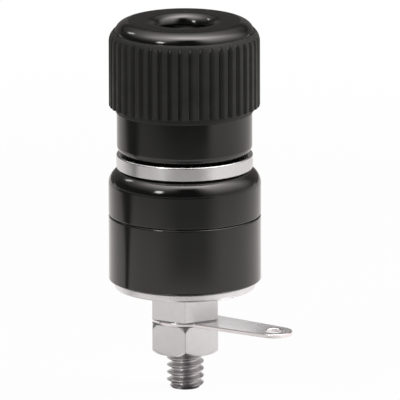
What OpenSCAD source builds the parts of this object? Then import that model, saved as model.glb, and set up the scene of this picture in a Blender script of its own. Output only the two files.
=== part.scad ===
// Insulated binding post with a 4 mm socket for a banana plug, in millimetres.
// The panel's plane is z = 0 and the plug goes in from +Z. The front insulator stands on the
// panel, and the rear insulator, washer, nuts and solder tag follow each other below it.
// The fluted cap is shown screwed down on the collar of the post.

/* [Insulators] */
// Outside diameter of both insulators
body_d = 16; // [15:0.1:20]
// Height of the front insulator above the panel
front_h = 5; // [4:0.1:8]
// Radius of the shoulder on the front insulator
shoulder_r = 1.7; // [0.5:0.1:2.5]
// Wall of the spigot that goes through the panel
spigot_wall = 1.9; // [1:0.1:2.4]
// Length of the spigot below the panel
spigot_l = 2.5; // [1.5:0.1:3.5]
// Height of the rear insulator below the panel
rear_h = 7; // [5:0.1:12]
// Rounding of the insulators' other outer edges
seam_r = 0.2; // [0.05:0.05:0.5]

/* [Post] */
// Diameter of the socket
socket_d = 4; // [3:0.1:5]
// Metal left under the socket
socket_floor = 1; // [0.5:0.1:2]
// Chamfer at the mouth of the socket
socket_chamfer = 0.4; // [0.1:0.1:0.8]
// Wall of the threaded post round the socket
post_wall = 2; // [1.5:0.1:2.6]
// How far the rim that keeps the cap on stands out from the post
rim_out = 0.45; // [0.2:0.05:0.8]
// Height of the rim
rim_h = 0.8; // [0.5:0.1:1.5]
// Diameter of the collar
collar_d = 14.3; // [12.5:0.1:15]
// Height of the collar
collar_h = 1.5; // [1:0.1:3]
// Chamfer on the collar's edges
collar_chamfer = 0.15; // [0.05:0.05:0.4]
// Diameter of the cross hole for a bare wire
wire_d = 2.5; // [1.5:0.1:3]
// Metal between the wire hole and the collar
wire_up = 0.5; // [0.3:0.1:1]
// How far the flats of the hexagonal key stand out from the shank
key_out = 1.5; // [0.5:0.1:2]
// Height of the hexagonal key
key_h = 1.5; // [0.8:0.1:2]
// Wall of the shank round the socket
shank_wall = 1; // [0.7:0.1:1.5]
// Diameter of the threaded stud
stud_d = 3.9; // [3:0.1:4.4]
// Length of stud below the last nut
stud_out = 4; // [1:0.1:12]
// Chamfer at the end of the stud
stud_chamfer = 0.5; // [0.2:0.1:0.8]

/* [Threaded bush] */
// Wall of the bush round the post
bush_wall = 1.25; // [0.8:0.05:2]
// How far the flange stands out from the bush
flange_out = 0.6; // [0.3:0.05:1.2]
// Thickness of the flange
flange_t = 1.2; // [0.8:0.1:2]
// Pitch of the thread between post and bush
thread_pitch = 1.25; // [0.75:0.05:1.5]
// Turns of the cap from the collar to the rim
cap_turns = 4; // [2:1:5]

/* [Cap] */
// Height of the cap
cap_h = 14.15; // [13:0.05:18]
// Wall of the smooth skirt round the flange
skirt_wall = 1.15; // [1:0.05:2]
// Height of the smooth skirt below the ribs
skirt_h = 5.1; // [2:0.1:8]
// Rounding at the foot of the skirt
foot_r = 0.9; // [0.2:0.1:1]
// How far the ribs stand out from the skirt
rib_out = 0.82; // [0.6:0.02:1.5]
// Number of ribs round the cap
rib_count = 45; // [24:1:60]
// Width of the grooves between the ribs
groove_w = 0.65; // [0.3:0.05:0.75]
// Depth of the grooves
groove_depth = 0.4; // [0.2:0.05:0.55]
// Radius that rounds the upper ends of the ribs
rib_end_r = 2; // [1:0.1:3]
// Angle that this rounding turns through before it meets the crown
rib_end_angle = 40; // [20:1:60]
// Height above the start of this rounding at which the grooves begin to run out
run_out_up = 0.15; // [0:0.05:0.5]
// Height of the slope in which each groove runs out
run_out = 1.3; // [0.4:0.1:2]
// How far the edge of the crown lies inside the crests of the ribs
crown_in = 0.62; // [0.5:0.02:1]
// Height of the smooth crown above the ribs
crown_h = 1; // [0.6:0.05:1.6]
// Rounding of the crown's edge
crown_r = 1.3; // [0.5:0.1:2]
// Thickness of the roof
roof_t = 2.2; // [1.5:0.1:3]
// Rounding of the hole in the roof
funnel_r = 1.15; // [0.5:0.05:2]

/* [Washer, nuts and solder tag] */
// How far the washer reaches beyond the collar, which it clamps against
washer_over = 0.25; // [-1:0.05:1]
// Thickness of the washer
washer_t = 0.9; // [0.5:0.05:2]
// Rounding of the washer's edges
washer_r = 0.25; // [0.1:0.05:0.25]
// Size of the nuts across their flats
nut_af = 6.9; // [6:0.1:9]
// Height of the nuts
nut_h = 3.2; // [2:0.05:5]
// Slope of the chamfers on the nuts' corners
nut_chamfer_angle = 45; // [15:1:50]
// How far the countersinks at both ends of the nuts stand out from their bores
nut_sink = 0.3; // [0.1:0.05:0.5]
// Full angle of these countersinks
nut_sink_angle = 120; // [90:5:120]
// Thickness of the solder tag
tag_t = 0.4; // [0.3:0.1:1]
// Width of metal in the tag's ring
tag_ring_w = 1.4; // [1:0.1:3]
// Distance from the stud to the tag's eyelet
tag_reach = 11.4; // [8:0.1:20]
// Width of the tag where it leaves the ring
tag_neck_w = 5; // [3:0.1:6]
// Diameter of the tag's round end
tag_end_d = 3.8; // [3:0.1:6]
// Diameter of the tag's eyelet
tag_eye_d = 1.9; // [1:0.1:2.2]

/* [Clearances] */
// Radial play between post and bush
thread_gap = 0.05; // [0.02:0.01:0.09]
// Play between bush and cap, all round
turn_gap = 0.05; // [0.02:0.01:0.09]
// Height of the bush above the collar with the cap screwed down
clamp_gap = 0.15; // [0.05:0.05:0.3]
// Height of the skirt's foot above the collar
foot_gap = 0.05; // [0.05:0.05:0.5]
// Play left between bush and rim with the cap fully unscrewed
stop_gap = 0.1; // [0.05:0.05:0.5]
// Room round and above the rim, inside the cap
rim_gap = 0.4; // [0.2:0.05:0.8]
// Room between a plug in the socket and the hole in the roof
plug_gap = 0.8; // [0.2:0.05:1]
// Play of the post's shank and key in the front insulator
shank_gap = 0.1; // [0.05:0.05:0.3]
// Play of the spigot in the rear insulator
spigot_gap = 0.15; // [0.05:0.05:0.4]
// Room below the end of the spigot
spigot_end_gap = 0.6; // [0.3:0.1:1]
// Play of the stud in the rear insulator, washer and tag
stud_gap = 0.15; // [0.05:0.05:0.4]
// Play of the stud's thread in the nuts
nut_gap = 0.05; // [0.02:0.01:0.1]

/* [Hidden] */
$fn = 96;

plastic_colour = [0.06, 0.06, 0.06];
nickel_colour = [0.78, 0.77, 0.75];
brass_colour = [0.78, 0.62, 0.32];

// How far a cutting shape runs past the face that it cuts
past = 1;

// Diameters from the socket outwards
post_d = socket_d + 2 * post_wall;
rim_d = post_d + 2 * rim_out;
bush_bore_d = post_d + 2 * thread_gap;
bush_d = bush_bore_d + 2 * bush_wall;
flange_d = bush_d + 2 * flange_out;
skirt_d = flange_d + 2 * turn_gap + 2 * skirt_wall;
cap_d = skirt_d + 2 * rib_out;
crown_d = cap_d - 2 * crown_in;
hole_d = socket_d + 2 * plug_gap;
shank_d = socket_d + 2 * shank_wall;
key_af = shank_d + 2 * key_out;
shank_bore_d = shank_d + 2 * shank_gap;
spigot_d = shank_bore_d + 2 * spigot_wall;
stud_hole_d = stud_d + 2 * stud_gap;
tag_ring_d = stud_hole_d + 2 * tag_ring_w;
washer_d = collar_d + 2 * washer_over;

// Heights above the panel
collar_z = front_h + collar_h;
cap_z = collar_z + foot_gap;
cap_top = cap_z + cap_h;
ribs_z = cap_z + skirt_h;
ribs_top = cap_top - crown_h;
rib_end_z = ribs_top - rib_end_r * sin(rib_end_angle);
ceiling_z = cap_top - roof_t;
post_top = ceiling_z - rim_gap;
rim_z = post_top - rim_h;
bush_z = collar_z + clamp_gap;
bush_top = rim_z - stop_gap - cap_turns * thread_pitch;
wire_z = collar_z + wire_up + wire_d / 2;

// Heights below the panel
shank_z = -spigot_l;
socket_z = shank_z + socket_floor;
rear_z = -rear_h;
washer_z = rear_z - washer_t;
clamp_nut_z = washer_z - nut_h;
tag_z = clamp_nut_z - tag_t;
terminal_nut_z = tag_z - nut_h;
stud_z = terminal_nut_z - stud_out;

// Across the corners of a hexagon that is this size across its flats
function corners(af) = af / cos(30);

// Upright cylinder between two heights
module rod(d, from_z, to_z) {
    translate([0, 0, from_z]) cylinder(d = d, h = to_z - from_z);
}

// Upright hexagonal bar between two heights
module hex_bar(af, from_z, to_z) {
    translate([0, 0, from_z]) cylinder(d = corners(af), h = to_z - from_z, $fn = 6);
}

// Half section of a disc with its upper outer edge rounded
module round_top_section(d, from_z, to_z, edge_r) {
    translate([0, from_z]) square([d / 2 - edge_r, to_z - from_z]);
    translate([0, from_z]) square([d / 2, to_z - from_z - edge_r]);
    translate([d / 2 - edge_r, to_z - edge_r]) circle(r = edge_r);
}

// Half section of a disc with its lower outer edge rounded
module round_low_section(d, from_z, to_z, edge_r) {
    mirror([0, 1]) round_top_section(d, -to_z, -from_z, edge_r);
}

// Half section of a disc with both outer edges rounded
module round_both_section(d, from_z, to_z, low_r, top_r) {
    intersection() {
        round_top_section(d, from_z, to_z, top_r);
        round_low_section(d, from_z, to_z, low_r);
    }
}

// Half section of the fluted band before its grooves are cut
module rib_section() {
    inner = crown_d / 2 - crown_r;
    translate([inner, ribs_z]) square([cap_d / 2 - inner, rib_end_z - ribs_z]);
    intersection() {
        translate([cap_d / 2 - rib_end_r, rib_end_z]) circle(r = rib_end_r);
        translate([inner, rib_end_z - past]) square([cap_d / 2 - inner, ribs_top - rib_end_z + past]);
    }
}

// Half section of the rounded hole in the roof
module funnel_section() {
    mouth_r = min(funnel_r, roof_t);
    throat_z = cap_top - mouth_r;
    translate([0, ceiling_z - past]) square([hole_d / 2, roof_t + 2 * past]);
    difference() {
        translate([0, throat_z]) square([hole_d / 2 + mouth_r, mouth_r + past]);
        translate([hole_d / 2 + mouth_r, throat_z]) circle(r = mouth_r);
    }
}

// Half section of the cap without its grooves and its inner bores
module cap_section() {
    difference() {
        union() {
            round_low_section(skirt_d, cap_z, ribs_top, min(foot_r, skirt_wall));
            round_top_section(crown_d, ribs_z, cap_top, crown_r);
            rib_section();
        }
        funnel_section();
    }
}

// Grooves between the ribs, V-shaped and sloping out at their upper ends
module rib_grooves() {
    groove_r = cap_d / 2 - groove_depth;
    widen = (groove_depth + past) / groove_depth;
    slope_z = rib_end_z + run_out_up;
    difference() {
        translate([0, 0, ribs_z - past])
            linear_extrude(height = ribs_top - ribs_z + past)
                for (i = [0 : rib_count - 1])
                    rotate(rib_turn + i * 360 / rib_count)
                        polygon([
                            [groove_r, 0],
                            [cap_d / 2 + past, groove_w / 2 * widen],
                            [cap_d / 2 + past, -groove_w / 2 * widen]
                        ]);
        rotate_extrude()
            polygon([
                [0, slope_z],
                [groove_r, slope_z],
                [groove_r + (groove_depth + past), slope_z + run_out * widen],
                [0, slope_z + run_out * widen]
            ]);
    }
}

// Angle of the first groove with the cap screwed down
rib_turn = -3;

// Fluted cap, hollow over the bush and the rim
module cap() {
    color(plastic_colour)
        difference() {
            rotate_extrude() cap_section();
            rib_grooves();
            rod(rim_d + 2 * rim_gap, cap_z - past, ceiling_z);
            rod(bush_d + 2 * turn_gap, cap_z - past, bush_top + turn_gap);
            rod(flange_d + 2 * turn_gap, cap_z - past, bush_z + flange_t + turn_gap);
        }
}

// Flanged brass bush that carries the cap's thread
module threaded_bush() {
    color(brass_colour)
        difference() {
            union() {
                rod(bush_d, bush_z, bush_top);
                rod(flange_d, bush_z, bush_z + flange_t);
            }
            rod(bush_bore_d, bush_z - past, bush_top + past);
        }
}

// Turned post: rim, threaded length, collar, hexagonal key, shank and stud in one piece
module post() {
    color(nickel_colour)
        difference() {
            union() {
                rod(rim_d, rim_z, post_top);
                rod(post_d, collar_z, rim_z);
                rotate_extrude()
                    polygon([
                        [0, front_h],
                        [collar_d / 2 - collar_chamfer, front_h],
                        [collar_d / 2, front_h + collar_chamfer],
                        [collar_d / 2, collar_z - collar_chamfer],
                        [collar_d / 2 - collar_chamfer, collar_z],
                        [0, collar_z]
                    ]);
                hex_bar(key_af, front_h - key_h, front_h);
                rod(shank_d, shank_z, front_h - key_h);
                rod(stud_d, stud_z + stud_chamfer, shank_z);
                translate([0, 0, stud_z])
                    cylinder(d1 = stud_d - 2 * stud_chamfer, d2 = stud_d, h = stud_chamfer);
            }
            rod(socket_d, socket_z, post_top + past);
            translate([0, 0, post_top - socket_chamfer])
                cylinder(d1 = socket_d, d2 = socket_d + 2 * socket_chamfer, h = socket_chamfer);
            translate([0, 0, wire_z])
                rotate([90, 0, 0])
                    cylinder(d = wire_d, h = post_d + 2 * past, center = true);
        }
}

// Front insulator with the key's hexagonal pocket and the panel spigot
module front_insulator() {
    color(plastic_colour)
        difference() {
            union() {
                rotate_extrude() round_both_section(body_d, 0, front_h, seam_r, shoulder_r);
                rod(spigot_d, shank_z, front_h / 2);
            }
            rod(shank_bore_d, shank_z - past, front_h + past);
            hex_bar(key_af + 2 * shank_gap, front_h - key_h - shank_gap, front_h + past);
        }
}

// Rear insulator with the recess that takes the spigot
module rear_insulator() {
    color(plastic_colour)
        difference() {
            rotate_extrude()
                translate([0, rear_z])
                    round_both_section(body_d, 0, rear_h, seam_r, seam_r);
            rod(spigot_d + 2 * spigot_gap, shank_z - spigot_end_gap, past);
            rod(stud_hole_d, rear_z - past, shank_z);
        }
}

// Washer under the rear insulator
module washer() {
    color(nickel_colour)
        difference() {
            rotate_extrude() round_both_section(washer_d, washer_z, rear_z, washer_r, washer_r);
            rod(stud_hole_d, washer_z - past, rear_z + past);
        }
}

// Hexagonal nut with one corner towards the given angle; its corners are turned off at the upper
// end, and at the lower end too if low_chamfer is true
module hex_nut(from_z, corner_angle, low_chamfer) {
    bore_r = stud_d / 2 + nut_gap;
    drop = (corners(nut_af) - nut_af) / 2 * tan(nut_chamfer_angle);
    sink = nut_sink / tan(nut_sink_angle / 2);
    intersection() {
        rotate(corner_angle) hex_bar(nut_af, from_z, from_z + nut_h);
        rotate_extrude()
            polygon([
                [bore_r, from_z + sink],
                [bore_r + nut_sink, from_z],
                [low_chamfer ? nut_af / 2 : corners(nut_af) / 2, from_z],
                [corners(nut_af) / 2, from_z + drop],
                [corners(nut_af) / 2, from_z + nut_h - drop],
                [nut_af / 2, from_z + nut_h],
                [bore_r + nut_sink, from_z + nut_h],
                [bore_r, from_z + nut_h - sink]
            ]);
    }
}

// Angle of the nuts' front corner, as they were tightened
nut_turn = -55;

// Nut that clamps the post in the panel, with a plain lower end
module clamp_nut() {
    color(nickel_colour) hex_nut(clamp_nut_z, nut_turn, false);
}

// Nut that holds the solder tag, chamfered at both ends
module terminal_nut() {
    color(nickel_colour) hex_nut(terminal_nut_z, nut_turn, true);
}

// Flat solder tag with a ring on the stud and an eyelet at its free end
module solder_tag() {
    color(nickel_colour)
        translate([0, 0, tag_z])
            linear_extrude(height = tag_t)
                difference() {
                    union() {
                        circle(d = tag_ring_d);
                        polygon([
                            [0, -tag_neck_w / 2],
                            [tag_reach, -tag_end_d / 2],
                            [tag_reach, tag_end_d / 2],
                            [0, tag_neck_w / 2]
                        ]);
                        translate([tag_reach, 0]) circle(d = tag_end_d);
                    }
                    circle(d = stud_hole_d);
                    translate([tag_reach, 0]) circle(d = tag_eye_d);
                }
}

cap();
threaded_bush();
post();
front_insulator();
rear_insulator();
washer();
clamp_nut();
solder_tag();
terminal_nut();
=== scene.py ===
"""Looks of an insulated binding post with a 4 mm banana socket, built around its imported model."""

import math

import bmesh
import bpy
import numpy as np
from mathutils import Matrix, Vector


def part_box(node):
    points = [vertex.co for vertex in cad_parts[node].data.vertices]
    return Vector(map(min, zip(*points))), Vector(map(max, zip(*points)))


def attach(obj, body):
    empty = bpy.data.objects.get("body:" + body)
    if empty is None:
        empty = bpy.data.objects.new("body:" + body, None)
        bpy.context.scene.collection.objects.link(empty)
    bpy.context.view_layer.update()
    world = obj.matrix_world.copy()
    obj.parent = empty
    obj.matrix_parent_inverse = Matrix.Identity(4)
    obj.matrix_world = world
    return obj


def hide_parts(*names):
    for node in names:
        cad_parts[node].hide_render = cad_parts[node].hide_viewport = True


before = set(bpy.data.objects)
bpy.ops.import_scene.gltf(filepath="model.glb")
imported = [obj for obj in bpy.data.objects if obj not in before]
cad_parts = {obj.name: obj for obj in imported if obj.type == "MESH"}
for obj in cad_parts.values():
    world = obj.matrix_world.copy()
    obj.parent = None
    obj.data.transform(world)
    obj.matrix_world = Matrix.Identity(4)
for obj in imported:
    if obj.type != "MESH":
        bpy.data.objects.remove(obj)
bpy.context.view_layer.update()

# Lengths are in millimetres and angles in degrees, unless a name says otherwise
MM = 0.001


def span(node):
    """Lowest and highest corner of a node of the frame."""
    low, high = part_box(node)
    return low / MM, high / MM


# Cap
cap_low, cap_high = span("cap")
cap_r = 7.92
cap_z = cap_low.z
cap_top = cap_high.z
skirt_r = 7.1
skirt_h = 5.1
foot_r = 0.9
# Plain ring under the ribs
under_r = 7.2
under_h = 0.65
rib_count = 45
# Turn of the ribs about the axis
rib_turn = -1.7
groove_w = 0.56
# Width of the steep wall of a groove, the one that faces counter-clockwise
groove_steep_w = 0.17
groove_depth = 0.4
# How far above the straight ribs the grooves start to run out, and the height over which they do
run_out_up = 0.13
run_out = 1.3
# Rounding of the ribs' upper ends
rib_end_r = 1.5
rib_end_angle = 46.5
crown_h = 1.08
crown_r = 7.3
# How far the rounding of the crown's edge goes across and down
crown_round = (1.6, 1.2)
roof_t = 2.2
hole_r = 2.8
funnel_r = 1.15
rim_room_r = 4.85
bush_room_r = 5.35
bush_room_top = 12.25
flange_room_r = 5.95
flange_room_top = 7.9
# Rounding of the cap's small edges, and of the ledge between crown and ribs
cap_edge_r = 0.1
ledge_edge = 0.04
# Rounding at the bottom of the grooves, along the ribs and where the grooves run out
groove_round = 0.03
rib_round = 0.06
run_out_round = 0.03
# Places of the mesh columns on a groove's walls, as shares of the wall's width, and on the ribs beside it
groove_shares = (0.12, 0.35, 0.7, 0.88, 1)
rib_steps = (0.04, 0.1)
ribs_z = cap_z + skirt_h
ribs_top = cap_top - crown_h
rib_end_z = ribs_top - rib_end_r * math.sin(math.radians(rib_end_angle))
ceiling_z = cap_top - roof_t
groove_slope_z = rib_end_z + run_out_up
# Place of a groove's bottom line, from the middle of the groove
groove_bottom = groove_steep_w - groove_w / 2

# Insulators and washer
insulator_low, insulator_high = span("front_insulator")
rear_low, rear_high = span("rear_insulator")
washer_low, washer_high = span("washer")
body_r = -insulator_low.x
shoulder_r = 1.7
seam_r = 0.2
shank_bore_r = 3.1
spigot_r = 5.0
spigot_edge_r = 0.15
key_room_af = 9.2
key_room_z = 3.4
recess_r = 5.15
recess_z = -3.1
stud_hole_r = 2.1
washer_edge_r = 0.25

# Post
post_low, post_high = span("post")
stud_z = post_low.z
post_top = post_high.z
collar_r = post_high.x
collar_low = insulator_high.z
collar_h = 1.5
collar_edge_r = 0.15
collar_top = collar_low + collar_h
socket_r = 2.0
socket_z = -1.5
socket_chamfer = 0.4
post_r = 4.0
post_pitch = 1.25
rim_r = 4.45
rim_h = 0.8
rim_edge_r = 0.12
wire_r = 1.25
wire_up = 0.5
wire_z = collar_top + wire_up + wire_r
wire_flare = 0.15
key_af = 9.0
key_h = 1.5
shank_r = 3.0
shank_z = insulator_low.z
stud_r = 1.95
stud_pitch = 0.775
stud_thread_start = -0.098
stud_chamfer = 0.5
# How far one solid of the post reaches into the next, where they are joined
joint_depth = 0.1

# Nuts
nut_af = 6.9
nut_chamfer_angle = 45
nut_corner_angle = -55
nut_bore_r = 2.0
nut_sink = 0.3
nut_sink_angle = 120
nut_round = 0.06
# Corners at the upper end of a nut, where they are turned off on a steep cone
nut_facet_r = 3.76
nut_facet_angle = 68
# Size of the broken edge at the plain end of a nut
nut_edge = 0.16
# Places of the mesh columns on each side of a corner of a nut
nut_corner_steps = (0, 0.5, 1, 2, 3.5, 6, 9, 13, 18, 24)
# Heights of the mesh rows above the end of a nut
nut_end_steps = (
    0, 0.02, 0.05, 0.1, 0.16, 0.23, 0.3, 0.37, 0.43, 0.48, 0.53, 0.58, 0.65, 0.8,
)

# Solder tag
tag_low, tag_high = span("solder_tag")
tag_ring_r = -tag_low.x
tag_neck_w = 5.0
tag_end_r = 1.9
tag_eye_r = 0.95
tag_reach = tag_high.x - tag_end_r
tag_upper_edge_r = 0.1
tag_lower_edge_r = 0.05
tag_neck_round = 0.35
# Mesh columns on the back of the ring, on each side of the strip and on its end
tag_ring_columns = 40
tag_side_columns = 60
tag_end_columns = 80
# Turns from the strip's middle, in radians: where its closer columns start, and the widest it can reach
tag_side_turn = 1.0
tag_strip_turn = math.pi / 3

# Photograph: its width, scale, and the pixel where the axis meets the seam of the insulators
photo_width = 400
pixels_per_mm = 9.54
seam_pixel = Vector((184.85, 213.2))
camera_azimuth = 35
camera_elevation = 13.2
camera_roll = -0.18
# Other views keep the lens and see the object only if the lens is shorter than about 1700
camera_lens = 1500
sensor_width = 36

# Meshes: columns round the axis, steps of the roundings, and rows of the straight ribs
plain_columns = 128
fine_columns = 192
thread_columns = 96
wire_columns = 64
hole_columns = 64
hex_sides = 6
hex_half = math.pi / hex_sides
edge_steps = 6
crown_steps = 20
rib_end_steps = 20
funnel_steps = 16
skirt_steps = 10
front_steps = 16
rear_steps = 12
washer_steps = 10
tag_edge_points = 5
rib_rows = 5
# Turns at which the rounding of the ribs' lower ends gets a row
rib_foot_turns = (30, 60, 90)
# Mesh points closer than this are one point, and cuts are this exact, in metres
merge_distance = 1e-8
cut_distance = 1e-9
# Angle between faces from which an edge is sharp
sharp_edge = 35
# Enlargement for the weighing of normals, which passes over very small faces
weighing_scale = 65536

# Threads: depth as a share of the pitch, mesh rows and crest and flank as shares of a turn
thread_depth = 0.61
thread_rows = (
    0, 0.05, 0.09, 0.13, 0.18, 0.36, 0.41, 0.45, 0.5, 0.55, 0.59, 0.64, 0.82, 0.87, 0.91, 0.95,
)
thread_middle = 0.5
thread_crest = 1 / 16
thread_flank = 5 / 16
# Softness of crest and root, and turns drawn beyond each end before the cut
thread_soft = 0.12
thread_spare = 2


# Shapes


def arc(centre, radius, start, end, steps):
    """Points on an arc from one angle to another."""
    angles = np.radians(np.linspace(start, end, steps + 1))
    return [(centre[0] + radius * math.cos(a), centre[1] + radius * math.sin(a)) for a in angles]


def rounded(corners, steps=edge_steps):
    """Points of an open outline, with each corner (x, y, radius) between its ends rounded."""
    points = [corners[0][:2]]
    for before, corner, after in zip(corners, corners[1:], corners[2:]):
        middle = Vector(corner[:2])
        back = (Vector(before[:2]) - middle).normalized()
        ahead = (Vector(after[:2]) - middle).normalized()
        radius = corner[2]
        if not radius:
            points.append(corner[:2])
            continue
        half = back.angle(ahead) / 2
        centre = middle + (back + ahead).normalized() * (radius / math.sin(half))
        first = middle + back * (radius / math.tan(half)) - centre
        last = middle + ahead * (radius / math.tan(half)) - centre
        start = math.degrees(math.atan2(first.y, first.x))
        turn = math.degrees(math.atan2(first.x * last.y - first.y * last.x, first.dot(last)))
        points += arc(centre, radius, start, start + turn, steps)
    return points + [corners[-1][:2]]


def smooth_min(a, b, blend):
    """The lesser of two values, rounded where they are closer than blend."""
    overlap = np.maximum(blend - np.abs(a - b), 0) / blend
    return np.minimum(a, b) - overlap**2 * blend / 4


def smooth_max(a, b, blend):
    """The greater of two values, rounded where they are closer than blend."""
    return -smooth_min(-a, -b, blend)


def solid(name, points, faces):
    """A mesh object from points in millimetres, with merged points and outward normals."""
    mesh = bpy.data.meshes.new(name)
    mesh.from_pydata((np.asarray(points) * MM).tolist(), [], faces)
    shape = bmesh.new()
    shape.from_mesh(mesh)
    bmesh.ops.remove_doubles(shape, verts=shape.verts, dist=merge_distance)
    bmesh.ops.recalc_face_normals(shape, faces=shape.faces)
    shape.to_mesh(mesh)
    shape.free()
    piece = bpy.data.objects.new(name, mesh)
    bpy.context.scene.collection.objects.link(piece)
    return piece


def grid_faces(rows, columns, closed):
    """Faces of rows of points that each run round a closed ring; closed joins the last row to the first."""
    last = rows if closed else rows - 1
    faces = []
    for row in range(last):
        this = row * columns
        above = (row + 1) % rows * columns
        for column in range(columns):
            beside = (column + 1) % columns
            faces.append((this + column, this + beside, above + beside, above + column))
    return faces


def ring(radius, z, angles):
    """Points round the axis at one height; radius is one value or one for each angle."""
    across = np.broadcast_to(radius, angles.shape)
    return np.stack([across * np.cos(angles), across * np.sin(angles), np.full(angles.shape, z)], axis=1)


def lathe(name, outline, columns=plain_columns, closed=False):
    """A turned solid from an outline of (radius, height)."""
    angles = np.linspace(0, 2 * math.pi, columns, endpoint=False)
    points = np.concatenate([ring(radius, z, angles) for radius, z in outline])
    return solid(name, points, grid_faces(len(outline), columns, closed))


def threaded_rod(name, radius, pitch, start, low, high, limit, columns=thread_columns):
    """A rod with a right-handed thread between two heights; limit(z) is the most radius at a height."""
    depth = thread_depth * pitch
    shares = np.array(thread_rows)
    fall = (np.abs(shares - thread_middle) - thread_crest) / thread_flank
    fall = smooth_min(fall, np.ones_like(fall), thread_soft)
    fall = smooth_max(fall, np.zeros_like(fall), thread_soft)
    turns = np.arange(math.floor(low / pitch) - thread_spare, math.ceil(high / pitch) + thread_spare)
    angles = np.linspace(0, 2 * math.pi, columns, endpoint=False)
    heights = start + pitch * (turns[:, None] + shares[None, :]).ravel()
    radii = radius - depth * np.tile(fall, len(turns))
    points = []
    for z, r in zip(heights, radii):
        climb = z + pitch * angles / (2 * math.pi)
        level = np.minimum(r, limit(climb))
        points.append(np.stack([level * np.cos(angles), level * np.sin(angles), climb], axis=1))
    rows = len(heights)
    faces = []
    for row in range(rows - 1):
        for column in range(columns):
            wraps = column + 1 == columns
            beside = 0 if wraps else column + 1
            lift = len(shares) if wraps else 0
            if row + 1 + lift >= rows:
                continue
            faces.append((
                row * columns + column,
                (row + lift) * columns + beside,
                (row + 1 + lift) * columns + beside,
                (row + 1) * columns + column,
            ))
    rod = solid(name, np.concatenate(points), faces)
    cut_flat(rod, low, -1)
    cut_flat(rod, high, 1)
    return rod


def cut_flat(piece, z, side):
    """Cuts a piece at a height, keeps what is below (side 1) or above (side -1), and closes the cut."""
    shape = bmesh.new()
    shape.from_mesh(piece.data)
    bmesh.ops.bisect_plane(
        shape,
        geom=shape.verts[:] + shape.edges[:] + shape.faces[:],
        dist=cut_distance,
        plane_co=(0, 0, z * MM),
        plane_no=(0, 0, side),
        clear_outer=True,
    )
    rim = [
        edge for edge in shape.edges
        if edge.is_boundary and all(abs(v.co.z - z * MM) < merge_distance for v in edge.verts)
    ]
    bmesh.ops.edgeloop_fill(shape, edges=rim)
    bmesh.ops.recalc_face_normals(shape, faces=shape.faces)
    shape.to_mesh(piece.data)
    shape.free()


def combine(base, tool, operation):
    """Joins a tool solid to the base, or cuts it out of the base."""
    modifier = base.modifiers.new("combine", "BOOLEAN")
    modifier.operation = operation
    modifier.solver = "MANIFOLD"
    modifier.object = tool
    bpy.context.view_layer.update()
    evaluated = base.evaluated_get(bpy.context.evaluated_depsgraph_get())
    joined = bpy.data.meshes.new_from_object(evaluated)
    base.modifiers.clear()
    old = base.data
    base.data = joined
    bpy.data.meshes.remove(old)
    bpy.data.objects.remove(tool)


def weigh_normals(piece):
    """Gives each corner the mean normal of its faces by their area, so that broad faces stay flat."""
    mesh = piece.data
    mesh.transform(Matrix.Scale(weighing_scale, 4))
    modifier = piece.modifiers.new("weighted", "WEIGHTED_NORMAL")
    modifier.keep_sharp = True
    bpy.context.view_layer.update()
    evaluated = piece.evaluated_get(bpy.context.evaluated_depsgraph_get())
    weighed = evaluated.to_mesh()
    normals = np.empty(3 * len(weighed.loops), dtype=np.float32)
    weighed.corner_normals.foreach_get("vector", normals)
    evaluated.to_mesh_clear()
    piece.modifiers.clear()
    mesh.transform(Matrix.Scale(1 / weighing_scale, 4))
    mesh.normals_split_custom_set(normals.reshape(-1, 3).tolist())


def finish_piece(piece, node, body):
    """Smooth shading with true edges, and the piece's place in the frame."""
    mesh = piece.data
    mesh.shade_smooth()
    mesh.set_sharp_from_angle(angle=math.radians(sharp_edge))
    weigh_normals(piece)
    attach(piece, body)
    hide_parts(node)


# Materials


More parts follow.
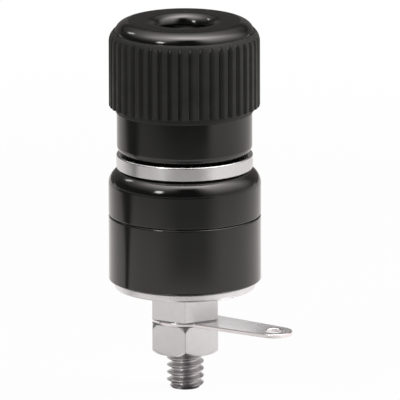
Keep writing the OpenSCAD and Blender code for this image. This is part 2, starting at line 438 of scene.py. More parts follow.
class Shader:
    """Short calls for the nodes of one material."""

    def __init__(self, name):
        self.material = bpy.data.materials.new(name)
        self.material.use_nodes = True
        self.tree = self.material.node_tree
        self.surface = self.tree.nodes["Principled BSDF"]
        self.place = self.tree.nodes.new("ShaderNodeTexCoord").outputs["Object"]

    def node(self, kind, inputs=None, **settings):
        """A new node with these settings, and with values or links on its inputs."""
        made = self.tree.nodes.new(kind)
        for name, value in settings.items():
            setattr(made, name, value)
        for socket, value in (inputs or {}).items():
            self.put(made.inputs[socket], value)
        return made

    def put(self, socket, value):
        """Links another node's output to a socket, or sets the socket's own value."""
        if isinstance(value, bpy.types.NodeSocket):
            self.tree.links.new(value, socket)
        else:
            socket.default_value = value

    def set(self, **values):
        """Sets or links sockets of the surface; an underscore in a name stands for a space."""
        for name, value in values.items():
            self.put(self.surface.inputs[name.replace("_", " ")], value)

    def noise(self, size, detail=3, vector=None):
        """Noise whose patches are about this size."""
        inputs = {"Vector": vector or self.place, "Scale": 1 / (size * MM), "Detail": detail}
        return self.node("ShaderNodeTexNoise", inputs).outputs["Fac"]

    def between(self, factor, low, high, start=0.3, end=0.7):
        """A number that runs from low to high as the factor goes from start to end."""
        inputs = {"Value": factor, "From Min": start, "From Max": end, "To Min": low, "To Max": high}
        return self.node("ShaderNodeMapRange", inputs).outputs["Result"]

    def blend(self, factor, low, high, start=0.3, end=0.7):
        """A colour that runs from low to high as the factor goes from start to end."""
        ramp = self.node("ShaderNodeValToRGB", {"Fac": factor})
        for element, place, colour in zip(ramp.color_ramp.elements, (start, end), (low, high)):
            element.position = place
            element.color = (*colour, 1)
        return ramp.outputs["Color"]

    def bump(self, height, depth, below=None):
        """Bump of this depth, on top of another bump."""
        inputs = {"Height": height, "Distance": depth * MM, "Strength": 1}
        if below:
            inputs["Normal"] = below
        return self.node("ShaderNodeBump", inputs).outputs["Normal"]

    def axis_distance(self):
        """Distance from the axis, in metres."""
        flat = self.node("ShaderNodeVectorMath", {0: self.place, 1: (1, 1, 0)}, operation="MULTIPLY")
        return self.node("ShaderNodeVectorMath", {0: flat.outputs[0]}, operation="LENGTH").outputs["Value"]

    def turned(self):
        """A place that is the same all round the axis, for the marks of a lathe."""
        height = self.node("ShaderNodeSeparateXYZ", {0: self.place}).outputs["Z"]
        return self.node("ShaderNodeCombineXYZ", {"X": self.axis_distance(), "Y": height}).outputs[0]


# Tint of the nickel on stamped pieces
nickel_tint = (1, 1.005, 1.02)
# Darkest and lightest patches, and lowest and highest roughness, as shares of the mean
plastic_patches = (0.85, 1.15)
plate_patches = (0.97, 1.03)
plate_roughness = (0.92, 1.08)


def shades(colour, shares):
    """A colour made darker and lighter by these shares."""
    return [[share * part for part in colour] for share in shares]


def moulded_plastic(name, colour, roughness, grain, mirror):
    """Black plastic of this mean colour and roughness, depth of grain and share of mirrored light."""
    shader = Shader(name)
    clouds = shader.noise(size=2.5)
    smudges = shader.noise(size=0.6, detail=5)
    shader.set(
        Base_Color=shader.blend(clouds, *shades(colour, plastic_patches)),
        Roughness=shader.between(smudges, *[share * roughness for share in plastic_patches]),
        Normal=shader.bump(shader.noise(size=0.15, detail=2), grain),
        IOR=1.5,
        Specular_IOR_Level=mirror,
    )
    return shader.material


def turned_nickel():
    """Nickel with fine lathe marks round the axis, which stretch what it mirrors."""
    shader = Shader("turned_nickel")
    lines = shader.noise(size=0.05, detail=2, vector=shader.turned())
    clouds = shader.noise(size=1.2)
    shader.set(
        Base_Color=shader.blend(clouds, (0.60, 0.603, 0.61), (0.64, 0.643, 0.65)),
        Metallic=1.0,
        Roughness=shader.between(lines, 0.27, 0.33),
        Anisotropic=0.8,
        Anisotropic_Rotation=0.25,
        Tangent=shader.node("ShaderNodeTangent", direction_type="RADIAL", axis="Z").outputs[0],
        Normal=shader.bump(lines, depth=0.0008),
    )
    return shader.material


def polished_nickel():
    """Smooth nickel of the face that clamps the wire."""
    shader = Shader("polished_nickel")
    scuffs = shader.noise(size=0.8, detail=4)
    shader.set(
        Base_Color=shader.blend(scuffs, (0.54, 0.542, 0.55), (0.6, 0.602, 0.61)),
        Metallic=1.0,
        Roughness=shader.between(scuffs, 0.2, 0.28),
    )
    return shader.material


def thread_nickel_painted_shade():
    """Scuffed nickel of the threads, its colour painted darker for the shade between the threads."""
    shader = Shader("thread_nickel_painted_shade")
    scuffs = shader.noise(size=0.35, detail=4)
    shader.set(
        # Painted shade: the colour is darker than the turned nickel, for the shade between the threads
        Base_Color=shader.blend(scuffs, (0.51, 0.495, 0.505), (0.59, 0.575, 0.585)),
        Metallic=1.0,
        Roughness=shader.between(scuffs, 0.28, 0.38),
        Normal=shader.bump(shader.noise(size=0.12), depth=0.001),
    )
    return shader.material


def plated_metal(name, roughness, tone):
    """Nickel plate on a stamped piece, of this mean roughness and brightness."""
    shader = Shader(name)
    clouds = shader.noise(size=0.9, detail=4)
    smudges = shader.noise(size=0.3, detail=4)
    colour = [tone * part for part in nickel_tint]
    shader.set(
        Base_Color=shader.blend(clouds, *shades(colour, plate_patches)),
        Metallic=1.0,
        Roughness=shader.between(smudges, *[share * roughness for share in plate_roughness]),
        Normal=shader.bump(shader.noise(size=1.5, detail=2), depth=0.0012),
    )
    return shader.material


def tinned_metal():
    """Tin on the tag, slightly pooled."""
    shader = Shader("tinned_metal")
    pools = shader.noise(size=1.4)
    shader.set(
        Base_Color=shader.blend(pools, (0.69, 0.668, 0.674), (0.74, 0.718, 0.723)),
        Metallic=1.0,
        Roughness=shader.between(shader.noise(size=0.4, detail=4), 0.2, 0.26),
        Normal=shader.bump(pools, depth=0.0015),
    )
    return shader.material


def bare_brass():
    """Turned brass of the bush in the cap."""
    shader = Shader("bare_brass")
    lines = shader.noise(size=0.06, detail=2, vector=shader.turned())
    shader.set(
        Base_Color=shader.blend(shader.noise(size=1.0, detail=4), (0.66, 0.46, 0.19), (0.78, 0.58, 0.27)),
        Metallic=1.0,
        Roughness=shader.between(lines, 0.2, 0.34),
        Normal=shader.bump(lines, depth=0.0015),
    )
    return shader.material


gloss = moulded_plastic("gloss_plastic", (0.0028, 0.0032, 0.0028), roughness=0.12, grain=0.0002, mirror=0.5)
satin = moulded_plastic("satin_plastic", (0.03, 0.03, 0.028), roughness=0.42, grain=0.002, mirror=0.1)
facet = moulded_plastic("facet_plastic", (0.015, 0.015, 0.014), roughness=0.2, grain=0.0005, mirror=0.5)
nickel = turned_nickel()
polished = polished_nickel()
thread_metal_painted_shade = thread_nickel_painted_shade()
plated = plated_metal("plated_metal", roughness=0.3, tone=0.62)
dull_plated = plated_metal("dull_plated", roughness=0.35, tone=0.68)
tinned = tinned_metal()
brass = bare_brass()


# Cap


def groove_radius(angles):
    """Radius of the grooves' walls at each angle, far outside the cap between the grooves."""
    pitch = 2 * math.pi / rib_count
    aside = (angles + pitch / 2) % pitch - pitch / 2 - groove_bottom / cap_r
    across = np.hypot(np.sin(aside), groove_round / cap_r) - groove_round / cap_r
    steepness = groove_depth / np.where(aside < 0, groove_steep_w, groove_w - groove_steep_w)
    return (cap_r - groove_depth) / (np.cos(aside) - steepness * across)


def cap_angles():
    """Angles of the cap's mesh columns, closer together where the grooves meet the ribs."""
    edge = groove_w / 2
    steep = [groove_bottom - groove_steep_w * share for share in groove_shares]
    gentle = [groove_bottom + (groove_w - groove_steep_w) * share for share in groove_shares]
    beside = [side * (edge + step) for step in rib_steps for side in (-1, 1)]
    places = sorted([groove_bottom, *steep, *gentle, *beside])
    flute = [place / cap_r for place in places] + [math.pi / rib_count]
    return np.array([2 * math.pi * i / rib_count + step for i in range(rib_count) for step in flute])


def slope_radius(z):
    """Radius of the cone on which the grooves run out."""
    return cap_r - groove_depth + (z - groove_slope_z) * groove_depth / run_out


def rib_row(radius, z, inset, angles):
    """One ring of points on the fluted band."""
    floor = smooth_max(groove_radius(angles), np.full(angles.shape, slope_radius(z)), run_out_round)
    return ring(smooth_min(np.full(angles.shape, radius), floor, rib_round) - inset, z, angles)


def make_cap():
    """The fluted cap, with gloss on the smooth parts, satin ribs and facets where the grooves run out."""
    gloss_slot, satin_slot, facet_slot = range(3)
    angles = cap_angles()
    ledge_r = cap_r - rib_end_r * (1 - math.cos(math.radians(rib_end_angle)))
    across, down = crown_round
    crown_foot = math.degrees(math.asin((down - crown_h) / down))
    turns = arc((0, 0), 1, 90, crown_foot, crown_steps)
    crown = [(crown_r + across * (x - 1), cap_top + down * (y - 1)) for x, y in turns]
    funnel = rounded([(hole_r, ceiling_z), (hole_r, cap_top, funnel_r), crown[0]], funnel_steps)
    upper = funnel[:-1] + crown
    upper += [(crown[-1][0] + ledge_edge, ribs_top), (ledge_r - ledge_edge, ribs_top)]
    ends = arc((cap_r - rib_end_r, rib_end_z), rib_end_r, rib_end_angle, 0, rib_end_steps)
    straight = np.linspace(rib_end_z, ribs_z + cap_edge_r, rib_rows)[1:]
    ribs = [(radius, z, 0) for radius, z in ends] + [(cap_r, z, 0) for z in straight]
    for turn in np.radians(rib_foot_turns):
        inset = cap_edge_r * (1 - math.cos(turn))
        ribs.append((cap_r, ribs_z + cap_edge_r * (1 - math.sin(turn)), inset))
    lower = rounded([
        (under_r, ribs_z),
        (under_r, ribs_z - under_h, cap_edge_r / 2),
        (skirt_r, ribs_z - under_h, 0),
        (skirt_r, cap_z, foot_r),
        (flange_room_r, cap_z, cap_edge_r),
        (flange_room_r, flange_room_top, 0),
        (bush_room_r, flange_room_top, 0),
        (bush_room_r, bush_room_top, 0),
        (rim_room_r, bush_room_top, 0),
        (rim_room_r, ceiling_z),
    ], skirt_steps)
    even = np.linspace(0, 2 * math.pi, len(angles), endpoint=False) - math.pi / rib_count
    rows = [ring(radius, z, even) for radius, z in upper]
    rows += [rib_row(radius, z, inset, angles) for radius, z, inset in ribs]
    rows += [ring(radius, z, even) for radius, z in lower]
    piece = solid("fluted_cap", np.concatenate(rows), grid_faces(len(rows), len(angles), True))
    piece.data.transform(Matrix.Rotation(math.radians(rib_turn), 4, "Z"))
    for material in (gloss, satin, facet):
        piece.data.materials.append(material)
    under = [satin_slot if radius > skirt_r + cap_edge_r / 2 else gloss_slot for radius, z in lower]
    band = [gloss_slot] * len(upper) + [satin_slot] * len(ribs) + under
    band[len(upper) - 1] = satin_slot
    slots = np.repeat(np.array(band, dtype=np.int32)[:, None], len(angles), axis=1)
    between = angles + np.diff(angles, append=angles[0] + 2 * math.pi) / 2
    for row, (this, below) in enumerate(zip(ribs, ribs[1:]), len(upper)):
        slope = slope_radius((this[1] + below[1]) / 2)
        on_facet = (groove_radius(between) < slope) & (slope < (this[0] + below[0]) / 2)
        slots[row][on_facet] = facet_slot
    piece.data.polygons.foreach_set("material_index", slots.ravel())
    finish_piece(piece, "cap", "cap")


make_cap()


# Post


def make_post():
    """The post in one piece: collar, key, shank and threads, with the socket and the cross hole cut out."""
    turned_slot, thread_painted_shade_slot, polished_slot = range(3)

    def free(z):
        """The barrel is as wide as its thread all along."""
        return np.full(z.shape, post_r)

    def stud_end(z):
        """The stud narrows in a chamfer at its end."""
        return stud_r - stud_chamfer + (z - stud_z)

    collar = rounded([
        (0, collar_low),
        (collar_r, collar_low, collar_edge_r),
        (collar_r, collar_top, collar_edge_r),
        (0, collar_top),
    ])
    piece = lathe("turned_post", collar, fine_columns)
    rim_z = post_top - rim_h
    rim = rounded([
        (0, rim_z),
        (rim_r, rim_z, rim_edge_r),
        (rim_r, post_top, rim_edge_r),
        (0, post_top),
    ])
    key_z = collar_low - key_h
    shank_end = key_z + joint_depth
    shank = [(0, shank_z), (shank_r, shank_z), (shank_r, shank_end), (0, shank_end)]
    key_r = key_af / 2 / math.cos(hex_half)
    key_end = collar_low + joint_depth
    key = [(0, key_z), (key_r, key_z), (key_r, key_end), (0, key_end)]
    barrel_low = collar_top - joint_depth
    barrel_high = rim_z + joint_depth
    stud_high = shank_z + joint_depth
    added = [
        lathe("rim", rim),
        lathe("shank", shank),
        lathe("key", key, hex_sides),
        threaded_rod("barrel", post_r, post_pitch, 0, barrel_low, barrel_high, free, plain_columns),
        threaded_rod("stud", stud_r, stud_pitch, stud_thread_start, stud_z, stud_high, stud_end),
    ]
    for tool in added:
        combine(piece, tool, "UNION")
    mouth_z = post_top - socket_chamfer
    bore = [
        (0, socket_z),
        (socket_r, socket_z),
        (socket_r, mouth_z),
        (socket_r + socket_chamfer, post_top),
        (socket_r + socket_chamfer, post_top + joint_depth),
        (0, post_top + joint_depth),
    ]
    combine(piece, lathe("bore", bore), "DIFFERENCE")
    wire_end = post_r + joint_depth
    wire = [(0, -wire_end), (wire_r + wire_flare, -wire_end), (wire_r, -post_r + wire_flare)]
    wire += [(radius, -along) for radius, along in reversed(wire)]
    wire_tool = lathe("wire", wire, wire_columns)
    wire_tool.data.transform(Matrix.Rotation(math.pi / 2, 4, "X"))
    wire_tool.data.transform(Matrix.Translation((0, 0, wire_z * MM)))
    combine(piece, wire_tool, "DIFFERENCE")
    piece.data.materials.clear()
    for material in (nickel, thread_metal_painted_shade, polished):
        piece.data.materials.append(material)
    for face in piece.data.polygons:
        z = face.center.z / MM
        across = math.hypot(face.center.x, face.center.y) / MM
        on_barrel = collar_top < z < rim_z and across > socket_r + wire_flare
        on_clamp = collar_top - collar_edge_r < z < collar_top + joint_depth and across > post_r
        slot = thread_painted_shade_slot if on_barrel or z < shank_z else turned_slot
        face.material_index = polished_slot if on_clamp else slot
    finish_piece(piece, "post", "base")


make_post()


# Nuts


def make_nut(name, node, low_chamfer):
    """A nut with its corners turned off at the upper end, and at the lower end if low_chamfer is true."""
    low, high = span(node)
    steps = [-step for step in reversed(nut_corner_steps[1:])] + list(nut_corner_steps)
    steps.append(180 / hex_sides)
    angles = np.radians([360 / hex_sides * side + step for side in range(hex_sides) for step in steps])
    flat_r = nut_af / 2
    aside = np.abs((angles + hex_half) % (2 * hex_half) - hex_half)
    hexagon = smooth_min(flat_r / np.cos(hex_half - aside), flat_r / np.cos(hex_half + aside), nut_round)
    heights = [low.z + step for step in nut_end_steps]
    heights += [high.z - step for step in reversed(nut_end_steps)]
    sink = nut_sink / math.tan(math.radians(nut_sink_angle / 2))
    steepness = 1 / math.tan(math.radians(nut_chamfer_angle))
    rows = [ring(nut_bore_r, low.z + sink, angles), ring(nut_bore_r + nut_sink, low.z, angles)]
    for z in heights:
        cone = nut_facet_r + (high.z - z) / math.tan(math.radians(nut_facet_angle))
        if low_chamfer:
            cone = min(cone, flat_r + (z - low.z) * steepness)
        side = smooth_min(hexagon, np.full(angles.shape, cone), nut_round)
        broken = 0 if low_chamfer else max(nut_edge - (z - low.z), 0)
        rows.append(ring(side - broken, z, angles))
    rows += [ring(nut_bore_r + nut_sink, high.z, angles), ring(nut_bore_r, high.z - sink, angles)]
    piece = solid(name, np.concatenate(rows), grid_faces(len(rows), len(angles), True))
    piece.data.transform(Matrix.Rotation(math.radians(nut_corner_angle), 4, "Z"))
    piece.data.materials.append(plated)
    finish_piece(piece, node, "base")


make_nut("upper_nut", "clamp_nut", False)
make_nut("lower_nut", "terminal_nut", True)


# Solder tag


def tag_outline():
    """Points of the tag's outline, counter-clockwise: a ring with a tapered strip that ends round."""
    end_angle = math.asin(tag_end_r / tag_reach)
    slope = (tag_neck_w / 2 - tag_end_r) / tag_reach
    stretches = (
        (-math.pi, -tag_side_turn, tag_ring_columns),
        (-tag_side_turn, -end_angle, tag_side_columns),
        (-end_angle, end_angle, tag_end_columns),
        (end_angle, tag_side_turn, tag_side_columns),
        (tag_side_turn, math.pi, tag_ring_columns),
    )
    angles = np.concatenate([np.linspace(*stretch, endpoint=False) for stretch in stretches])
    turn = np.abs(angles)
    strip = np.where(turn < math.pi / 2, tag_neck_w / 2 / (np.sin(turn) + slope * np.cos(turn)), 0)
    aside = tag_reach * np.sin(turn)
    inside = np.maximum(tag_end_r**2 - aside**2, 0)
    end = np.where(turn < end_angle, tag_reach * np.cos(turn) + np.sqrt(inside), tag_reach)
    reach = np.where(turn < end_angle, np.maximum(end, 0), np.minimum(strip, end / np.cos(turn)))
    reach = np.where(turn > tag_strip_turn, 0, reach)
    radius = smooth_max(np.full(angles.shape, tag_ring_r), reach, tag_neck_round)
    return np.stack([radius * np.cos(angles), radius * np.sin(angles)], axis=1)


def circle(centre, radius, columns=hole_columns):
    """Points of a hole, clockwise."""
    angles = -np.linspace(0, 2 * math.pi, columns, endpoint=False)
    return np.stack([centre + radius * np.cos(angles), radius * np.sin(angles)], axis=1)


def make_tag():
    """The flat tag with its two holes and rounded edges."""
    shape = bmesh.new()
    quarter = np.radians(np.linspace(0, 90, tag_edge_points))
    upper_r = tag_upper_edge_r
    lower_r = tag_lower_edge_r
    profile = [(upper_r * (1 - math.sin(a)), tag_high.z - upper_r * (1 - math.cos(a))) for a in quarter]
    profile += [(lower_r * (1 - math.cos(a)), tag_low.z + lower_r * (1 - math.sin(a))) for a in quarter]
    rims = {0: [], len(profile) - 1: []}
    for outline in (tag_outline(), circle(0, stud_hole_r), circle(tag_reach, tag_eye_r)):
        along = np.roll(outline, -1, axis=0) - np.roll(outline, 1, axis=0)
        inward = np.stack([-along[:, 1], along[:, 0]], axis=1)
        inward /= np.linalg.norm(inward, axis=1)[:, None]
        loops = []
        for inset, z in profile:
            moved = outline + inset * inward
            loops.append([shape.verts.new((x * MM, y * MM, z * MM)) for x, y in moved])
        for upper, under in zip(loops, loops[1:]):
            for i in range(len(upper)):
                j = (i + 1) % len(upper)
                shape.faces.new((upper[i], under[i], under[j], upper[j]))
        for level in rims:
            loop = loops[level]
            rims[level] += [shape.edges.get((loop[i], loop[(i + 1) % len(loop)])) for i in range(len(loop))]
    for edges in rims.values():
        bmesh.ops.triangle_fill(shape, edges=edges, use_beauty=True)
    bmesh.ops.recalc_face_normals(shape, faces=shape.faces)
    mesh = bpy.data.meshes.new("eyelet_tag")
    shape.to_mesh(mesh)
    shape.free()
    piece = bpy.data.objects.new("eyelet_tag", mesh)
    bpy.context.scene.collection.objects.link(piece)
    mesh.materials.append(tinned)
    finish_piece(piece, "solder_tag", "base")


make_tag()


# Insulators, washer and bush


def make_insulators():
    """The front insulator with the room for the key, and the rear one with the recess."""
    front = lathe("front_body", rounded([
        (shank_bore_r, insulator_low.z),
        (spigot_r, insulator_low.z, spigot_edge_r),
        (spigot_r, 0, 0),
        (body_r, 0, seam_r),
        (body_r, insulator_high.z, shoulder_r),
        (shank_bore_r, insulator_high.z),
    ], front_steps), fine_columns, True)
    room_r = key_room_af / 2 / math.cos(hex_half)
    room_top = insulator_high.z + joint_depth
    room = [(0, key_room_z), (room_r, key_room_z), (room_r, room_top), (0, room_top)]
    combine(front, lathe("key_room", room, hex_sides), "DIFFERENCE")
    rear = lathe("rear_body", rounded([
        (stud_hole_r, rear_low.z),
        (body_r, rear_low.z, seam_r),
        (body_r, rear_high.z, seam_r),
        (recess_r, rear_high.z, 0),
        (recess_r, recess_z, 0),
        (stud_hole_r, recess_z),
    ], rear_steps), fine_columns, True)
    for piece, node in ((front, "front_insulator"), (rear, "rear_insulator")):
        piece.data.materials.clear()
        piece.data.materials.append(gloss)
        finish_piece(piece, node, "base")


def make_washer():
    """The wide washer under the insulators."""
    piece = lathe("plated_washer", rounded([
        (stud_hole_r, washer_low.z),
        (washer_high.x, washer_low.z, washer_edge_r),
        (washer_high.x, washer_high.z, washer_edge_r),
        (stud_hole_r, washer_high.z),
    ], washer_steps), fine_columns, True)
    piece.data.materials.append(dull_plated)
    finish_piece(piece, "washer", "base")


make_insulators()
make_washer()
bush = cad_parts["threaded_bush"].data
bush.materials.clear()
bush.materials.append(brass)


# Camera


def direction(azimuth, elevation):
    """Unit vector from the object; azimuth 0 looks from -Y and 90 from +X."""
    a = math.radians(azimuth)
    e = math.radians(elevation)
    return Vector((math.sin(a) * math.cos(e), -math.cos(a) * math.cos(e), math.sin(e)))


def make_camera():
    """The camera at the photograph's viewing angle, scale and place."""
    data = bpy.data.cameras.new("camera")
    data.sensor_width = sensor_width
    data.lens = camera_lens
    camera = bpy.data.objects.new("camera", data)
    bpy.context.scene.collection.objects.link(camera)
    back = direction(camera_azimuth, camera_elevation)
    roll = Matrix.Rotation(math.radians(camera_roll), 3, "Z").to_quaternion()
    turn = (-back).to_track_quat("-Z", "Y") @ roll
    right = turn @ Vector((1, 0, 0))
    up = turn @ Vector((0, 1, 0))
    middle = photo_width / 2
    aside = (middle - seam_pixel.x) / pixels_per_mm * MM
    above = (seam_pixel.y - middle) / pixels_per_mm * MM
    distance = photo_width / pixels_per_mm * MM * data.lens / data.sensor_width
    camera.rotation_mode = "QUATERNION"
    camera.rotation_quaternion = turn
    camera.location = right * aside + up * above + back * distance
    bpy.context.scene.camera = camera


make_camera()


# Studio


def seen_rays(tree):
    """1 for rays from the camera and for mirror and glass rays, 0 for the rays that light the object."""
    path = tree.nodes.new("ShaderNodeLightPath").outputs
    value = path["Is Camera Ray"]
    for name in ("Is Glossy Ray", "Is Transmission Ray"):
        greater = tree.nodes.new("ShaderNodeMath")
        greater.operation = "MAXIMUM"
        tree.links.new(value, greater.inputs[0])
        tree.links.new(path[name], greater.inputs[1])
        value = greater.outputs[0]
    return value


def make_world(light):
    """White to the eye and in mirrors, and a soft even light on the object."""
    world = bpy.data.worlds.new("studio")
    world.use_nodes = True
    tree = world.node_tree
    lit = tree.nodes["Background"]
    lit.inputs["Strength"].default_value = light
    lit.inputs["Color"].default_value = (1, 1, 1, 1)
    white = tree.nodes.new("ShaderNodeBackground")
    white.inputs["Color"].default_value = (1, 1, 1, 1)
    mix = tree.nodes.new("ShaderNodeMixShader")
    tree.links.new(seen_rays(tree), mix.inputs["Fac"])
    tree.links.new(lit.outputs[0], mix.inputs[1])
    tree.links.new(white.outputs[0], mix.inputs[2])
    tree.links.new(mix.outputs[0], tree.nodes["World Output"].inputs["Surface"])
    bpy.context.scene.world = world


def plane(name, corners):
    """A flat stage object from four corners in metres."""
    mesh = bpy.data.meshes.new(name)
    mesh.from_pydata(corners, [], [(0, 1, 2, 3)])
    made = bpy.data.objects.new(name, mesh)
    bpy.context.scene.collection.objects.link(made)
    return made


def make_floor(half, colour, glow, fade):
    """A pale floor under the stud, white to the eye and in mirrors except for the object's shadow.

    It fades to the white of the world between the two distances of fade, in metres.
    """
    z = stud_z * MM
    floor = plane("floor", [(-half, -half, z), (half, -half, z), (half, half, z), (-half, half, z)])
    material = bpy.data.materials.new("floor")
    material.use_nodes = True
    tree = material.node_tree
    tree.nodes.remove(tree.nodes["Principled BSDF"])
    diffuse = tree.nodes.new("ShaderNodeBsdfDiffuse")
    diffuse.inputs["Color"].default_value = (colour, colour, colour, 1)
    emission = tree.nodes.new("ShaderNodeEmission")
    place = tree.nodes.new("ShaderNodeTexCoord").outputs["Object"]
    away = tree.nodes.new("ShaderNodeVectorMath")
    away.operation = "LENGTH"
    tree.links.new(place, away.inputs[0])
    whiter = tree.nodes.new("ShaderNodeMapRange")
    for name, value in zip(("From Min", "From Max", "To Min", "To Max"), (*fade, glow, 1)):
        whiter.inputs[name].default_value = value
    tree.links.new(away.outputs["Value"], whiter.inputs["Value"])
    tree.links.new(whiter.outputs["Result"], emission.inputs["Strength"])
    add = tree.nodes.new("ShaderNodeAddShader")
    tree.links.new(diffuse.outputs[0], add.inputs[0])
    tree.links.new(emission.outputs[0], add.inputs[1])
    mix = tree.nodes.new("ShaderNodeMixShader")
    tree.links.new(seen_rays(tree), mix.inputs["Fac"])
    tree.links.new(diffuse.outputs[0], mix.inputs[1])
    tree.links.new(add.outputs[0], mix.inputs[2])
    tree.links.new(mix.outputs[0], tree.nodes["Material Output"].inputs["Surface"])
    floor.data.materials.append(material)


def softbox(name, aside, elevation, width, height, brightness, mirrored):
    """An area light aimed at the object, aside of the camera by an angle; lengths are in metres.

    A brightness of 1 is white paper. Only a mirrored light shows in the surfaces.
    """
    data = bpy.data.lights.new(name, "AREA")
    data.shape = "RECTANGLE"
    data.size = width
    data.size_y = height
    data.energy = brightness * math.pi * width * height
    lamp = bpy.data.objects.new(name, data)
    bpy.context.scene.collection.objects.link(lamp)
    away = direction(camera_azimuth + aside, elevation)
    lamp.location = away * light_distance
    lamp.rotation_euler = (-away).to_track_quat("-Z", "Y").to_euler()
    lamp.visible_camera = False
    lamp.visible_glossy = mirrored


def screen(name, places, levels):
    """A sheet that shows only in mirrors, from rings of points in metres and the brightness at each."""
    mesh = bpy.data.meshes.new(name)
    rows, columns = levels.shape
    mesh.from_pydata(places.reshape(-1, 3).tolist(), [], grid_faces(rows, columns, False))
    brightness = mesh.attributes.new("level", "FLOAT", "POINT")
    brightness.data.foreach_set("value", levels.ravel().astype(np.float32))
    sheet = bpy.data.objects.new(name, mesh)
    bpy.context.scene.collection.objects.link(sheet)
    material = bpy.data.materials.new(name)
    material.use_nodes = True
    tree = material.node_tree
    tree.nodes.remove(tree.nodes["Principled BSDF"])
    level = tree.nodes.new("ShaderNodeAttribute")
    level.attribute_name = "level"
    emission = tree.nodes.new("ShaderNodeEmission")
    emission.inputs["Color"].default_value = (*studio_tint, 1)
    tree.links.new(level.outputs["Fac"], emission.inputs["Strength"])
    tree.links.new(emission.outputs[0], tree.nodes["Material Output"].inputs["Surface"])
    material.cycles.emission_sampling = "NONE"
    mesh.materials.append(material)
    sheet.visible_camera = False
    sheet.visible_diffuse = False
    sheet.visible_shadow = False
    sheet.visible_transmission = False


def ramp(value, start, end):
    """0 up to start, 1 from end on, and a smooth rise between them."""
    share = np.clip((value - start) / (end - start), 0, 1)
    return share**2 * (3 - 2 * share)


def run(places, steps):
    """Values at places along a run of (place, value) steps."""
    return np.interp(places, *zip(*steps))


def around(aside, front, left, right, back, left_edge, right_edge):
    """Mixes what lies in front, left, right and at the back of the object, seen from the camera.

    An edge is the pair of angles between which one side passes into the next.
    """
    level = front + (left - front) * ramp(-aside, *left_edge)
    level = level + (right - level) * ramp(aside, *right_edge)
    return level + (back - level) * ramp(np.abs(aside), *back_edge)


def make_dome():
    """Walls and ceiling of the studio: dark low down, light from above and from the right."""
    aside = np.linspace(-180, 180, dome_columns, endpoint=False)[None, :]
    foot = dome_foot + (dome_back_foot - dome_foot) * ramp(np.abs(aside), *dome_back_edge)
    share = np.linspace(0, 1, dome_rows)[:, None]
    elevation = foot + (90 - foot) * share
    level = around(
        aside,
        run(elevation, front_light),
        run(elevation, left_light),
        run(elevation, right_light),
        run(elevation, back_light),
        dome_left_edge,
        dome_right_edge,
    )
    turn = np.radians(camera_azimuth + aside)
    rise = np.radians(elevation)
    across = dome_r * np.cos(rise)
    places = np.stack([np.sin(turn) * across, -np.cos(turn) * across, dome_r * np.sin(rise)], axis=2)
    screen("dome", places, level)


def make_table():
    """The table as the object mirrors it: pale, darker in front, with a dark stripe, a light streak and a
    painted contact shadow round the stud.
    """
    aside = np.linspace(-180, 180, table_columns, endpoint=False)[None, :]
    reach = np.geomspace(table_low_r, table_r, table_rows)[:, None]
    level = around(
        aside,
        run(reach, front_table),
        run(reach, left_table),
        run(reach, right_table),
        run(reach, back_table),
        (run(reach, left_edge_start), run(reach, left_edge_end)),
        (run(reach, right_edge_start), run(reach, right_edge_end)),
    )
    half = run(reach, stripe_half)
    off = np.abs(aside - run(reach, stripe_aside))
    level = stripe_level + (level - stripe_level) * ramp(off, band_core * half, band_reach * half)
    off = np.abs(aside - streak_aside)
    streak = 1 - ramp(off, band_core * streak_half, band_reach * streak_half)
    streak = streak * (1 - ramp(reach, *streak_end))
    level = level + (streak_level - level) * streak
    # Painted contact shadow round the stud's foot
    level = level * (contact_shadow_level + (1 - contact_shadow_level) * ramp(reach, *contact_shadow_end))
    turn = np.radians(camera_azimuth + aside)
    flat = [np.sin(turn) * reach * MM, -np.cos(turn) * reach * MM]
    places = np.stack([*flat, np.full(level.shape, (stud_z + table_up) * MM)], axis=2)
    screen("table", places, level)


def flag(name, middle, half, reach, low, high, level):
    """A dark curved card that the object mirrors, round an angle aside of the camera.

    It stands at a reach from the axis, between two heights.
    """
    aside = middle + np.linspace(-half, half, flag_columns)
    turn = np.radians(camera_azimuth + np.concatenate([aside, aside[::-1]]))
    flat = [np.sin(turn) * reach, -np.cos(turn) * reach]
    places = np.stack([np.stack([*flat, np.full(turn.shape, z)], axis=1) for z in (low, high)])
    screen(name, places * MM, np.full(places.shape[:2], level))


# Distance of the lights from the object, in metres
light_distance = 0.5
# Colour of the studio's light
studio_tint = (1, 0.95, 0.935)
# Brightness of the studio's walls by elevation, and of the table by distance in millimetres
front_light = ((0, 0.07), (60, 0.06), (68, 2.4), (76, 6.8), (90, 10))
left_light = ((0, 0.2), (10, 0.1), (25, 0.12), (40, 0.75), (50, 1.8), (60, 3.9), (72, 5.4), (90, 10))
right_light = ((0, 0.65), (12, 0.75), (25, 1.6), (40, 2.9), (55, 4.8), (70, 7.8), (80, 9.5), (90, 10))
back_light = ((20, 0.12), (32, 0.25), (45, 0.8), (55, 1.6), (65, 3.0), (75, 5.2), (90, 10))
front_table = (
    (0, 0.2), (17, 0.2), (32, 0.7), (42, 1.3), (57, 1.5), (63, 0.55), (76, 0.48), (88, 0.55), (97, 0.26),
    (103, 0.28), (107, 0.6), (115, 0.6), (119, 0.42), (123, 0.4), (131, 0.13), (140, 0.1), (700, 0.1),
)
left_table = (
    (0, 0.68), (14, 0.7), (20, 0.9), (34, 1.0), (45, 1.18), (73, 1.1), (88, 0.95), (97, 0.74), (128, 0.52),
    (300, 0.25), (700, 0.2),
)
right_table = (
    (0, 0.95), (14, 1.0), (22, 1.18), (45, 1.3), (73, 1.3), (95, 1.14), (103, 1.08), (108, 0.79), (115, 0.79),
    (120, 1.06), (131, 1.06), (300, 0.75), (700, 0.65),
)
back_table = ((0, 1.1), (73, 1.3), (95, 1.05), (128, 0.9), (700, 0.95))
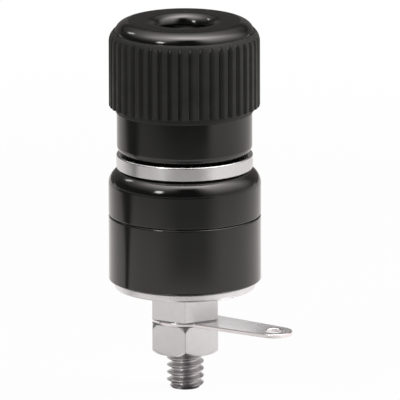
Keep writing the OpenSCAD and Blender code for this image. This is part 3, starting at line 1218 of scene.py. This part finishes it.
# Angles aside of the camera between which one side passes into the next, on the walls and on the table
back_edge = (100, 140)
dome_left_edge = (2, 48)
dome_right_edge = (18, 60)
dome_back_edge = (120, 160)
left_edge_start = ((122, 2), (131, 15))
left_edge_end = ((122, 48), (131, 68))
right_edge_start = ((122, 22), (131, 34))
right_edge_end = ((122, 60), (131, 50))
# Dark stripe at the left: its angle aside and half its width by distance, and its brightness
stripe_aside = ((73, -93), (95, -95), (128, -100))
stripe_half = ((20, 2), (73, 5), (95, 12), (128, 19))
stripe_level = 0.15
# Light streak near the stud: its angle aside, half its width, where it ends and its brightness
streak_aside = -26
streak_half = 9
streak_end = (14, 20)
streak_level = 1.7
# Even core and full reach of stripe and streak, as shares of half their width
band_core = 0.4
band_reach = 1.4
# Painted contact shadow where the stud stands, on the mirrored table: where it ends and its brightness
contact_shadow_end = (2, 5)
contact_shadow_level = 0.25
# Sizes and meshes of table, walls and cards; the walls' radius is in metres
table_low_r = 0.3
table_r = 700
table_up = 0.02
table_columns = 180
table_rows = 80
dome_columns = 120
dome_rows = 46
flag_columns = 25
dome_r = 0.7
dome_foot = 1
dome_back_foot = 22

make_world(light=0.2)
make_floor(half=1.5, colour=0.06, glow=0.95, fade=(0.1, 0.3))
# Lights: name, angle aside, elevation, width, height, brightness, and whether surfaces mirror it
lights = (
    ("right_fill", 95, 5, 0.3, 0.3, 14, False),
    ("front_fill", 0, 0, 0.3, 0.3, 6.4, False),
    ("left_fill", -75, 5, 0.3, 0.3, 2, False),
    ("left_lamp", -43, 32, 0.085, 0.13, 15, True),
    ("back_lamp", -132, 39, 0.075, 0.075, 5.5, True),
)
for light in lights:
    softbox(*light)
make_dome()
make_table()
# Cards: name, angle aside of the middle, half the angle across, reach, low and high edge, and brightness
cards = (
    ("back_flag", 180, 45, 200, 48, 110, 0.085),
    ("left_flag", -150, 22, 60, 2, 38, 0.2),
    ("right_flag", 150, 22, 60, 2, 38, 0.2),
    ("near_flag", 180, 30, 62, 17, 35, 0.12),
)
for card in cards:
    flag(*card)

bpy.context.scene.view_settings.view_transform = "Standard"
